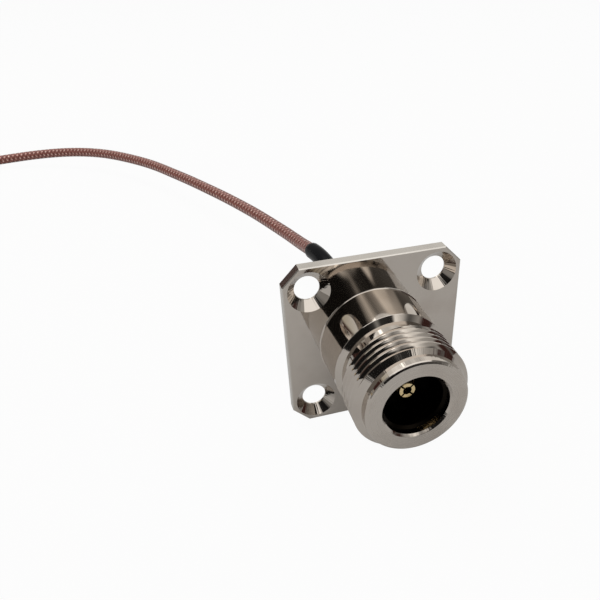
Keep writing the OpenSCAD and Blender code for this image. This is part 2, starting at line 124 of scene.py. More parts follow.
class Tree:
    """A node tree with short ways to add nodes."""

    MIX_INS = (0, 6, 7)  # the Mix node's factor and colours
    MIX_OUT = 2  # its blended colour

    def __init__(self, name: str, world: bool = False) -> None:
        """Makes an empty material or world.

        Args:
            name: its name.
            world: make a world and not a material.
        """
        self.owner = (bpy.data.worlds if world else bpy.data.materials).new(name)
        self.owner.use_nodes = True
        self.nodes = self.owner.node_tree.nodes
        self.links = self.owner.node_tree.links
        self.nodes.clear()
        self.end = "ShaderNodeOutputWorld" if world else "ShaderNodeOutputMaterial"

    def node(
        self, kind: str, sockets: dict | None = None, out: str | int = 0, **settings: object
    ) -> Value:
        """Adds any node.

        Args:
            kind: the node's type, without the ShaderNode that starts it.
            sockets: links, numbers or colours, by input name or number.
            out: the output to return.
            settings: properties to set first.

        Returns:
            The chosen output.
        """
        made = self.nodes.new("ShaderNode" + kind)
        for key, value in settings.items():
            setattr(made, key, value)
        for key, value in (sockets or {}).items():
            if isinstance(value, Value):
                self.links.new(value.socket, made.inputs[key])
            else:
                colour = isinstance(value, tuple)
                made.inputs[key].default_value = (*value, 1.0) if colour else value
        return Value(self, made.outputs[out])

    def ramp(self, place: Value, stops: list[tuple[float, Point]]) -> Value:
        """A colour that changes along a ramp.

        Args:
            place: how far along the ramp it is read, from 0 to 1.
            stops: place and colour of each stop.

        Returns:
            The colour.
        """
        made = self.node("ValToRGB", {0: place})
        elements = made.socket.node.color_ramp.elements
        while len(elements) < len(stops):
            elements.new(1.0)
        for element, (at, colour) in zip(elements, stops):
            element.position = at
            element.color = (*colour, 1.0)
        return made

    def place(self) -> Value:
        """Object coordinates."""
        return self.node("TexCoord", out="Object")

    def ray(self, kind: str) -> Value:
        """1 for light rays of a kind, else 0."""
        return self.node("LightPath", out=f"Is {kind} Ray")

    def split(self, vector: Value) -> tuple[Value, Value, Value]:
        """A vector's three parts."""
        made = self.node("SeparateXYZ", {0: vector}).socket.node
        return tuple(Value(self, part) for part in made.outputs)

    def join(self, x: Value | float, y: Value | float, z: Value | float) -> Value:
        """A vector from three parts."""
        return self.node("CombineXYZ", {0: x, 1: y, 2: z})

    def noise(self, vector: Value, scale: float, detail: float = 2.0, rough: float = 0.5) -> Value:
        """Fractal noise around 0.5, in octaves, where rough is the finer ones' strength."""
        sockets = {"Vector": vector, "Scale": scale, "Detail": detail, "Roughness": rough}
        return self.node("TexNoise", sockets)

    def mix(self, factor: Value, first: Value | Point, second: Value | Point) -> Value:
        """Blends two colours, from the first at 0 to the second at 1."""
        sockets = dict(zip(self.MIX_INS, (factor, first, second)))
        return self.node("Mix", sockets, self.MIX_OUT, data_type="RGBA")

    def bump(self, height: Value, strength: float, distance: float) -> Value:
        """A normal from a height of 0 to 1, where 1 stands for a distance in metres."""
        sockets = {"Height": height, "Strength": strength, "Distance": distance}
        return self.node("Bump", sockets, "Normal")

    def surface(self, **sockets: Value | float) -> bpy.types.Material:
        """Ends the tree in a Principled shader, its inputs named with underscores for spaces."""
        named = {key.replace("_", " "): value for key, value in sockets.items()}
        return self.finish(self.node("BsdfPrincipled", named, "BSDF"))

    def finish(self, shader: Value) -> bpy.types.Material | bpy.types.World:
        """Links a shader to the output, which finishes the material or world."""
        self.links.new(shader.socket, self.nodes.new(self.end).inputs["Surface"])
        return self.owner


# Finishes --


@dataclass(frozen=True)
class Plating:
    """Plated metal with fine marks left by the tool.

    Args:
        name: the finish's name.
        rough: roughness.
        colour: the metal's own colour.
        shade: colour in its duller patches.
        lines: how deep the turned lines are.
        spacing: typical distance between turned lines.
        chatter: depth of the marks across the turned lines.
        strokes: how closely those marks stand round the axis.
        fold: distance of four axes from the jack's own, both ways.
        faced: lines are rings on a flat face and not rings along the axis.
    """

    name: str
    rough: float
    colour: Point = (0.60, 0.55, 0.50)
    shade: Point = (0.54, 0.485, 0.435)
    lines: float = 0.0004
    spacing: float = 0.12
    chatter: float = 0.0
    strokes: float = 9.0
    fold: float = 0.0
    faced: bool = False

    def build(self) -> bpy.types.Material:
        """The material."""
        tree = Tree(self.name)
        place = tree.place()
        across, y, z = tree.split(place)
        up = z - AXIS_H * MM
        if self.fold:
            across = across.size() - self.fold * MM
            up = up.size() - self.fold * MM
        out = (across * across + up * up).root()
        cloud = tree.noise(place, scale=160.0, detail=3.0)
        colour = tree.mix(cloud.smooth(low=0.45, high=0.75), self.colour, self.shade)
        along = (out if self.faced else y) / (self.spacing * MM)
        marks = tree.noise(tree.join(along, 0.0, 0.0), scale=1.0, detail=3.0, rough=0.7)
        height = marks * self.lines
        if self.chatter:
            bearing = tree.join(across / out, up / out, 0.0)
            height = height + tree.noise(bearing, self.strokes, rough=0.6) * self.chatter
        patches, streaks = 0.03, 0.06
        rough = self.rough + (cloud - 0.5) * patches + (marks - 0.5) * streaks
        normal = tree.bump(height, strength=1.0, distance=MM)
        return tree.surface(Base_Color=colour, Metallic=1.0, Roughness=rough, Normal=normal)


@dataclass(frozen=True)
class Plastic:
    """Moulded, extruded or shrunk plastic and rubber.

    Args:
        name: the finish's name.
        colour: its colour.
        shade: colour in its duller patches.
        rough: roughness.
        grain: depth of its surface grain.
        shine: how strongly it reflects, where 0.5 is usual.
    """

    name: str
    colour: Point
    shade: Point
    rough: float
    grain: float = 0.004
    shine: float = 0.5

    def build(self) -> bpy.types.Material:
        """The material."""
        tree = Tree(self.name)
        place = tree.place()
        cloud = tree.noise(place, scale=260.0, detail=3.0)
        fine = tree.noise(place, scale=2500.0, detail=3.0)
        colour = tree.mix(cloud.smooth(low=0.3, high=0.7), self.colour, self.shade)
        speckle = 0.12
        rough = self.rough + (fine - 0.5) * speckle
        normal = tree.bump(cloud * 0.6 + fine * 0.4, strength=0.8, distance=self.grain * MM)
        return tree.surface(
            Base_Color=colour, Roughness=rough, Normal=normal, Specular_IOR_Level=self.shine,
        )


@dataclass(frozen=True)
class BraidedJacket:
    """Braid of plated wire seen through a thin brown jacket, with painted highlights on the tops of
    the strands.

    The piece's UV map counts metres along the cable and turns round it.

    Args:
        name: the finish's name.
        carriers: strands each way round.
        pitch: distance along the cable between crossings of one pair of strands.
        wires: wires side by side in a strand.
        relief: height of the weave.
        gap: colour between the strands.
        strand: colour of a strand.
        painted_glint: painted highlight colour on the top of a strand.
    """

    name: str
    carriers: int = 4
    pitch: float = 1.3
    wires: int = 4
    relief: float = 0.06
    gap: Point = (0.095, 0.026, 0.020)
    strand: Point = (0.290, 0.108, 0.084)
    painted_glint: Point = (0.95, 0.80, 0.71)

    def build(self) -> bpy.types.Material:
        """The material."""
        tree = Tree(self.name)
        turn, run, _ = tree.split(tree.node("UVMap", uv_map="run"))
        place = tree.place()
        wobble = (tree.noise(place, scale=700.0) - 0.5) * 0.25
        strands = turn * float(self.carriers)
        crossings = run / (self.pitch * MM)
        right = strands + crossings + wobble
        left = strands - crossings + wobble
        over = ((right.floor() + left.floor()) * 0.5).fraction().above(0.25)
        across = right.fraction() * over + left.fraction() * (1.0 - over)
        along = left.fraction() * over + right.fraction() * (1.0 - over)
        width = (across * math.pi).sine()
        length = (along * math.pi).sine()
        crown = width * length
        wires = (across * (2 * math.pi * self.wires)).sine() * 0.5 + 0.5
        patchy = tree.noise(place, scale=900.0).smooth(low=0.30, high=0.65, start=0.35)
        body = tree.mix(crown.smooth(low=0.05, high=0.55), self.gap, self.strand)
        # Painted highlight: the crowns of the strands are mixed towards a near-white colour that
        # stands for light glinting on the wires.
        lit = (width ** 3.0 * length).smooth(low=0.62, high=0.97)
        colour = tree.mix(lit * patchy * (0.7 + wires * 0.3), body, self.painted_glint)
        return tree.surface(
            Base_Color=colour,
            Metallic=crown.smooth(low=0.2, high=0.9, start=0.1, end=0.55),
            Roughness=crown.smooth(low=0.1, high=0.9, start=0.5, end=0.3),
            Normal=tree.bump(crown + wires * 0.12, strength=0.9, distance=self.relief * MM),
            Coat_Weight=0.35, Coat_Roughness=0.18,
        )


class Skin(Enum):
    """The finishes of the jack's body by kind of surface, in slot order; the bore's near-black one
    is painted shade.
    """

    TURNED = Plating("nickel_turned", rough=0.07)
    RIM = Plating("nickel_rim", rough=0.08, chatter=0.022, strokes=18.0)
    FLANGE = Plating("nickel_satin", rough=0.06, lines=0.0001, spacing=0.4)
    EDGE = Plating(
        "nickel_milled", colour=(0.66, 0.63, 0.59), shade=(0.58, 0.55, 0.51), rough=0.20,
        lines=0.0012, spacing=0.09,
    )
    NOSE = Plating("nickel_faced", rough=0.27, spacing=0.08, faced=True)
    SINK = Plating("nickel_countersink", rough=0.06, chatter=0.045, strokes=4.6, fold=9.13)
    # Painted shade: the bore is the same nickel, coloured near-black to stand for the shadow deep
    # inside it.
    BORE_PAINTED_SHADE = Plating(
        "nickel_bore_painted_shade", colour=(0.009, 0.007, 0.005), shade=(0.006, 0.005, 0.004), rough=0.30,
    )


GOLD = Plating("gold_contact", colour=(0.93, 0.74, 0.42), shade=(0.84, 0.62, 0.30), rough=0.20)
PLUG_GOLD = Plating("gold_plug", colour=(0.90, 0.68, 0.32), shade=(0.78, 0.56, 0.24), rough=0.20)
BRONZE = Plating("spring_bronze", colour=(0.60, 0.42, 0.26), shade=(0.48, 0.32, 0.2), rough=0.3)
SILVER = Plating("silver_wire", colour=(0.82, 0.79, 0.74), shade=(0.70, 0.66, 0.6), rough=0.25)
BEAD = Plastic("white_bead", colour=(0.82, 0.82, 0.79), shade=(0.75, 0.75, 0.72), rough=0.45)
SLEEVE = Plastic(
    "black_sleeve", colour=(0.003, 0.003, 0.004), shade=(0.005, 0.005, 0.006), rough=0.13,
    grain=0.006, shine=0.02,
)
TIE = Plastic("black_tie", colour=(0.012, 0.012, 0.013), shade=(0.02, 0.02, 0.021), rough=0.42)
GASKET = Plastic("red_gasket", colour=(0.42, 0.07, 0.04), shade=(0.32, 0.05, 0.03), rough=0.55)
JACKET = BraidedJacket("brown_jacket")

# Modelling --


class Bench:
    """Modelling by hand tools: rings that are extruded and drawn in, blocks and cuts."""

    @staticmethod
    def alone(piece: Piece) -> None:
        """Selects one piece and nothing else."""
        bpy.ops.object.select_all(action="DESELECT")
        piece.select_set(True)
        bpy.context.view_layer.objects.active = piece

    @staticmethod
    def edit(piece: Piece) -> None:
        """Opens a piece in edit mode, with all of it selected."""
        Bench.alone(piece)
        bpy.ops.object.mode_set(mode="EDIT")
        bpy.ops.mesh.select_mode(type="EDGE")
        bpy.ops.mesh.select_all(action="SELECT")

    @staticmethod
    def pick(piece: Piece, wanted: Callable[[bmesh.types.BMEdge], bool]) -> None:
        """Selects some of a piece's edges and nothing else.

        Args:
            piece: the piece in edit mode.
            wanted: says of an edge whether it is selected.
        """
        bpy.ops.mesh.select_all(action="DESELECT")
        mesh = bmesh.from_edit_mesh(piece.data)
        for edge in mesh.edges:
            edge.select = wanted(edge)
        mesh.select_flush_mode()
        bmesh.update_edit_mesh(piece.data)

    @staticmethod
    def close(piece: Piece, angle: float = 30.0) -> Piece:
        """Turns faces outwards, shades the piece and leaves edit mode.

        Args:
            piece: the piece in edit mode.
            angle: edges sharper than this stay sharp, in degrees.

        Returns:
            The piece.
        """
        bpy.ops.mesh.select_all(action="SELECT")
        bpy.ops.mesh.normals_make_consistent(inside=False)
        bpy.ops.object.mode_set(mode="OBJECT")
        bpy.ops.object.shade_smooth_by_angle(angle=math.radians(angle))
        return piece

    @staticmethod
    def added(name: str) -> Piece:
        """Names the piece that was just added and applies its placing."""
        piece = bpy.context.active_object
        piece.name = name
        bpy.ops.object.transform_apply(location=True, rotation=True, scale=True)
        return piece

    @staticmethod
    def draw(axis: Point, profile: Profile) -> None:
        """Extrudes the selected ring along a profile, round an axis that runs along -Y.

        Args:
            axis: a point on the axis at distance 0.
            profile: distance and radius of each corner, the ring's own first.
        """
        for (now, now_r), (to, to_r) in zip(profile, profile[1:]):
            move = (0.0, (now - to) * MM, 0.0)
            bpy.ops.mesh.extrude_edges_move(TRANSFORM_OT_translate={"value": move})
            ratio = to_r / now_r
            if abs(ratio - 1.0) > 1e-9:
                centre = (axis[0] * MM, (axis[1] - to) * MM, axis[2] * MM)
                bpy.ops.transform.resize(value=(ratio, 1.0, ratio), center_override=centre)

    @staticmethod
    def turned(name: str, axis: Point, profile: Profile, sides: int) -> Piece:
        """Turns a profile round an axis that runs along -Y, and fills both its ends.

        Args:
            name: the piece's name.
            axis: a point on the axis at distance 0.
            profile: distance and radius of each corner.
            sides: faces round the piece.

        Returns:
            The piece.
        """
        bpy.ops.object.select_all(action="DESELECT")
        distance, radius = profile[0]
        bpy.ops.mesh.primitive_circle_add(
            vertices=sides, radius=radius * MM, fill_type="NOTHING",
            location=(axis[0] * MM, (axis[1] - distance) * MM, axis[2] * MM),
            rotation=(math.pi / 2, 0.0, 0.0),
        )
        piece = Bench.added(name)
        Bench.edit(piece)
        bpy.ops.mesh.edge_face_add()
        Bench.draw(axis, profile)
        bpy.ops.mesh.edge_face_add()
        return Bench.close(piece)

    @staticmethod
    def block(name: str, centre: Point, size: Point, turn: float = 0.0) -> Piece:
        """A block.

        Args:
            name: the piece's name.
            centre: its centre.
            size: its width, length and height.
            turn: how far it is turned about Y, in degrees.

        Returns:
            The piece.
        """
        bpy.ops.object.select_all(action="DESELECT")
        bpy.ops.mesh.primitive_cube_add(
            size=1.0, location=[part * MM for part in centre],
            rotation=(0.0, math.radians(turn), 0.0), scale=[part * MM for part in size],
        )
        return Bench.added(name)

    @staticmethod
    def modify(piece: Piece, kind: str, **settings: object) -> None:
        """Gives a piece a modifier and applies it.

        Args:
            piece: the piece.
            kind: the modifier's type, which also names it.
            settings: the modifier's properties.
        """
        Bench.alone(piece)
        modifier = piece.modifiers.new(kind, kind)
        for key, value in settings.items():
            setattr(modifier, key, value)
        bpy.ops.object.modifier_apply(modifier=kind)

    @staticmethod
    def cut(piece: Piece, tool: Piece) -> None:
        """Cuts a tool's shape out of a piece, and uses the tool up."""
        Bench.modify(piece, "BOOLEAN", operation="DIFFERENCE", solver="EXACT", object=tool)
        bpy.data.objects.remove(tool)


def dress(piece: Piece, *materials: bpy.types.Material) -> None:
    """Gives a piece its materials, in the order of its slots."""
    piece.data.materials.clear()
    for material in materials:
        piece.data.materials.append(material)


def ease(part: float) -> float:
    """Eases from 0 to 1 as the part goes from 0 to 1, and stays there past either end."""
    part = min(max(part, 0.0), 1.0)
    return part * part * (3 - 2 * part)


def on_jack(x: float, run: float, up: float) -> Vector:
    """A place in metres from millimetres across, behind the flange's face and above the floor."""
    return Vector((x, FACE_Y + run, up)) * MM


# Sub-assemblies --


@dataclass
class Jack:
    """The plated body of the jack, with its flange, thread and bores.

    _r is a radius, and a start, end, phase, seat, floor or rear lies at that distance in front
    of the flange's face. Pairs are how far a rounding goes along the axis and off it. The
    chamfers' corners are in parts of rim, behind the front and inside the pilot.
    """

    flange_w: float = 25.4
    flange_t: float = 1.7
    flange_soft: float = 0.18
    corner: float = 2.4
    hole_pitch: float = 18.26
    hole_r: float = 1.77
    sink_r: float = 2.95
    sink_depth: float = 1.3
    barrel_r: float = 7.94
    barrel_len: float = 6.9
    shoulder: float = 0.5
    shoulder_edge: Pair = (0.05, 0.04)
    relief_r: float = 7.1
    relief_end: float = 9.6
    run_out: float = 0.2
    thread_pitch: float = 1.058
    thread_depth: float = 0.65
    thread_soft: float = 0.05
    thread_root: float = 0.03
    thread_end: float = 14.4
    thread_phase: float = 9.65
    thread_turns: int = 9
    thread_flank: float = 30.0
    pilot_r: float = 6.9
    pilot_start: float = 14.85
    rim: float = 0.28
    chamfers: tuple[Pair, ...] = ((1.0, 0.0), (0.47, 0.30), (0.42, 0.34), (0.0, 1.3))
    foot: float = 0.2
    foot_steps: int = 4
    mouth_r: float = 4.45
    mouth_edge: float = 0.3
    mouth_soft: Pair = (0.02, 0.01)
    mouth_len: float = 1.2
    mouth_lead: float = 0.8
    bore_r: float = 4.05
    bore_floor: float = 7.3
    line_r: float = 3.5
    seat_r: float = 4.3
    seat: float = 4.6
    seat_edge: float = 0.1
    boss_r: float = 5.5
    boss_edge: float = 0.15
    rear: float = -5.2
    sides: int = 144
    hole_sides: int = 72

    def thread(self) -> Piece:
        """The helical thread alone, cut square at both ends."""
        pitch, major = self.thread_pitch, self.barrel_r
        root = major - self.thread_depth
        crest = pitch / 8
        flank = self.thread_depth * math.tan(math.radians(self.thread_flank))
        soft = self.thread_soft
        start = self.thread_phase - 3 * pitch
        rise = [
            (pitch / 2, root), (crest / 2 + flank, root + self.thread_root),
            (crest / 2 + soft, major - soft), (crest / 2, major),
        ]
        outline = [(-along, out) for along, out in rise] + rise[::-1]
        bpy.ops.object.select_all(action="DESELECT")
        bpy.ops.mesh.primitive_plane_add(size=MM)
        piece = Bench.added("body_dressed")
        Bench.edit(piece)
        bpy.ops.mesh.select_mode(type="VERT")
        bpy.ops.mesh.merge(type="CENTER")
        along, out = outline[0]
        bpy.ops.transform.translate(value=(out * MM, -(start + along) * MM, 0.0))
        for (along, out), (along_to, out_to) in zip(outline, outline[1:]):
            move = ((out_to - out) * MM, (along - along_to) * MM, 0.0)
            bpy.ops.mesh.extrude_vertices_move(TRANSFORM_OT_translate={"value": move})
        bpy.ops.object.mode_set(mode="OBJECT")
        Bench.modify(
            piece, "SCREW", axis="Y", angle=2 * math.pi, screw_offset=-pitch * MM,
            iterations=self.thread_turns, steps=self.sides, render_steps=self.sides,
            use_merge_vertices=True, merge_threshold=1e-7,
        )
        Bench.edit(piece)
        bpy.ops.transform.translate(value=(0.0, FACE_Y * MM, AXIS_H * MM))
        for distance, inner in ((self.relief_end, False), (self.thread_end, True)):
            bpy.ops.mesh.select_all(action="SELECT")
            bpy.ops.mesh.bisect(
                plane_co=(0.0, (FACE_Y - distance) * MM, AXIS_H * MM), plane_no=(0.0, 1.0, 0.0),
                clear_inner=inner, clear_outer=not inner, threshold=1e-8,
            )
        bpy.ops.mesh.select_all(action="SELECT")
        bpy.ops.mesh.remove_doubles(threshold=1e-7)
        return piece

    @staticmethod
    def pick_ring(piece: Piece, distance: float) -> None:
        """Selects the open edges at a distance in front of the flange's face."""
        Bench.pick(piece, lambda edge: edge.is_boundary and all(
            abs(FACE_Y - vert.co.y / MM - distance) < 0.01 for vert in edge.verts
        ))

    @staticmethod
    def level(piece: Piece, distance: float, radius: float) -> None:
        """Extrudes the selected ring of any outline to a true circle.

        Args:
            piece: the piece in edit mode.
            distance: the circle's distance in front of the flange's face.
            radius: the circle's radius.
        """
        bpy.ops.mesh.extrude_edges_move(TRANSFORM_OT_translate={"value": (0, 0, 0)})
        mesh = bmesh.from_edit_mesh(piece.data)
        for vert in mesh.verts:
            if vert.select:
                out = Vector((vert.co.x, 0.0, vert.co.z - AXIS_H * MM)).normalized()
                vert.co = out * radius * MM + on_jack(0, -distance, AXIS_H)
        bmesh.update_edit_mesh(piece.data)

    def barrel(self) -> Piece:
        """Everything that is turned: boss, barrel, thread, pilot and bores."""
        turns = [math.pi / 2 * i / self.foot_steps for i in range(self.foot_steps + 1)]
        buried = -self.flange_t / 2
        edge, drop = self.shoulder_edge
        back: Profile = [
            (self.relief_end - self.run_out, self.relief_r),
            (self.barrel_len + self.shoulder, self.relief_r),
            (self.barrel_len + edge, self.barrel_r - drop), (self.barrel_len, self.barrel_r),
            *((self.foot * (1 - math.sin(turn)), self.barrel_r + self.foot * (1 - math.cos(turn)))
              for turn in turns),
            (buried, self.barrel_r + self.foot), (buried, self.boss_r),
            (self.rear + self.boss_edge, self.boss_r), (self.rear, self.boss_r - self.boss_edge),
            (self.rear, self.seat_r + self.seat_edge), (self.rear + self.seat_edge, self.seat_r),
            (self.seat, self.seat_r), (self.seat, self.line_r),
        ]
        lead = (self.mouth_r - self.bore_r) * self.mouth_lead
        mouth = FRONT - self.mouth_len
        face = self.mouth_r + self.mouth_edge
        edge, drop = self.mouth_soft
        ahead: Profile = [
            (self.pilot_start, self.pilot_r),
            *((FRONT - self.rim * behind, self.pilot_r - self.rim * inside)
              for behind, inside in self.chamfers),
            (FRONT, face + edge), (FRONT - edge, face - drop),
            (FRONT - self.mouth_edge, self.mouth_r), (mouth, self.mouth_r),
            (mouth - lead, self.bore_r), (self.bore_floor, self.bore_r),
            (self.bore_floor, self.line_r),
        ]
        piece = self.thread()
        for distance, profile in ((self.relief_end, back), (self.thread_end, ahead)):
            self.pick_ring(piece, distance)
            self.level(piece, *profile[0])
            Bench.draw(FACE, profile)
        Bench.pick(piece, lambda edge: edge.is_boundary)
        bpy.ops.mesh.bridge_edge_loops()
        return Bench.close(piece, angle=20.0)

    def flange(self) -> Piece:
        """The square plate with cut corners and countersunk holes."""
        centre = (0.0, FACE_Y + self.flange_t / 2, AXIS_H)
        plate = Bench.block("plate", centre, (self.flange_w, self.flange_t, self.flange_w))
        Bench.edit(plate)
        Bench.pick(plate, lambda edge: abs(edge.verts[0].co.y - edge.verts[1].co.y) > MM)
        bpy.ops.mesh.bevel(offset=self.corner * MM)
        bpy.ops.object.mode_set(mode="OBJECT")
        half = self.hole_pitch / 2
        slope = (self.sink_r - self.hole_r) / self.sink_depth
        hole: Profile = [
            (-self.flange_t - PAST, self.hole_r), (-self.sink_depth, self.hole_r),
            (PAST / 2, self.sink_r + PAST / 2 * slope),
        ]
        for x in (-half, half):
            for z in (-half, half):
                tool = Bench.turned("hole", (x, FACE_Y, AXIS_H + z), hole, self.hole_sides)
                Bench.cut(plate, tool)
        middle_r = (self.boss_r + self.seat_r) / 2
        middle: Profile = [(-self.flange_t - PAST, middle_r), (PAST, middle_r)]
        Bench.cut(plate, Bench.turned("middle", FACE, middle, self.hole_sides))
        Bench.modify(
            plate, "BEVEL", width=self.flange_soft * MM, segments=1, limit_method="ANGLE",
            angle_limit=math.radians(60),
        )
        Bench.edit(plate)
        return Bench.close(plate, angle=20.0)

    def build(self) -> Piece:
        """Body of the jack, in one piece, with a finish for each kind of surface and painted shade
        in the bore.
        """
        skins = list(Skin)
        materials = [skin.value.build() for skin in skins]
        body = self.barrel()
        plate = self.flange()
        for piece in (body, plate):
            dress(piece, *materials)
            for face in piece.data.polygons:
                face.material_index = skins.index(self.skin(face, on_plate=piece is plate))
        Bench.alone(body)
        plate.select_set(True)
        bpy.ops.object.join()
        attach(body, Body.JACK.value)
        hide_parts("connector_body")
        return body

    def skin(self, face: bpy.types.MeshPolygon, on_plate: bool) -> Skin:
        """Which kind of surface a face belongs to.

        Args:
            face: the face.
            on_plate: it is one of the flange's, and not of what is turned.

        Returns:
            Its kind.
        """
        flat = abs(face.normal.y) > 0.9
        slack = 0.05
        across, up = face.center.x, face.center.z - AXIS_H * MM
        if on_plate:
            half = self.hole_pitch / 2 * MM
            near_hole = math.hypot(abs(across) - half, abs(up) - half) / MM < self.sink_r + slack
            return Skin.FLANGE if flat else Skin.SINK if near_hole else Skin.EDGE
        distance = FACE_Y - face.center.y / MM
        inside = math.hypot(across, up) / MM < self.mouth_r + slack
        # The lead cone, the bore and its floor get the near-black painted shade.
        if inside and distance < FRONT - self.mouth_len + slack:
            return Skin.BORE_PAINTED_SHADE
        if flat and distance > FRONT - slack:
            return Skin.NOSE
        return Skin.RIM if distance > self.thread_end - 2 * slack else Skin.TURNED


@dataclass
class CentreContact:
    """The sprung centre contact with its four slotted fingers.

    The tip and the collar lie at that distance in front of the flange's face. A rounding is how
    far it goes along the axis and off it.
    """

    radius: float = 1.52
    tip: float = 12.8
    tip_r: float = 1.1
    tip_round: Pair = (0.08, 0.05)
    taper: float = 0.6
    taper_soft: Point = (0.1, 0.05, 0.03)
    lip_r: float = 0.6
    lip_len: float = 0.35
    socket_r: float = 0.82
    socket_start: float = 0.6
    socket_depth: float = 6.0
    slot_w: float = 0.24
    slot_len: float = 4.6
    collar: float = 0.4
    collar_r: float = 2.1
    collar_t: float = 0.8
    tail_r: float = 1.1
    tail_len: float = 4.6

    def build(self) -> Piece:
        """The contact in gold."""
        back = self.collar - self.collar_t
        start = self.tip - self.taper
        before, after, drop = self.taper_soft
        behind, outside = self.tip_round
        outline: Profile = [
            (back - self.tail_len, self.tail_r), (back, self.tail_r), (back, self.collar_r),
            (self.collar, self.collar_r), (self.collar, self.radius),
            (start - before, self.radius), (start + after, self.radius - drop),
            (self.tip - behind, self.tip_r + outside), (self.tip, self.tip_r - drop),
        ]
        contact = Bench.turned("contact_dressed", FACE, outline, sides=64)
        hollow: Profile = [
            (self.tip + PAST, self.lip_r), (self.tip - self.lip_len, self.lip_r),
            (self.tip - self.socket_start, self.socket_r),
            (self.tip - self.socket_depth, self.socket_r),
        ]
        Bench.cut(contact, Bench.turned("socket", FACE, hollow, sides=48))
        middle = (self.tip - self.slot_len + self.tip + PAST) / 2
        slot = (4 * self.radius, self.slot_len + PAST, self.slot_w)
        for turn in (45.0, 135.0):
            Bench.cut(contact, Bench.block("slot", (0.0, FACE_Y - middle, AXIS_H), slot, turn))
        Bench.edit(contact)
        Bench.close(contact, angle=24.0)
        dress(contact, GOLD.build())
        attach(contact, Body.JACK.value)
        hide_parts("centre_contact")
        return contact


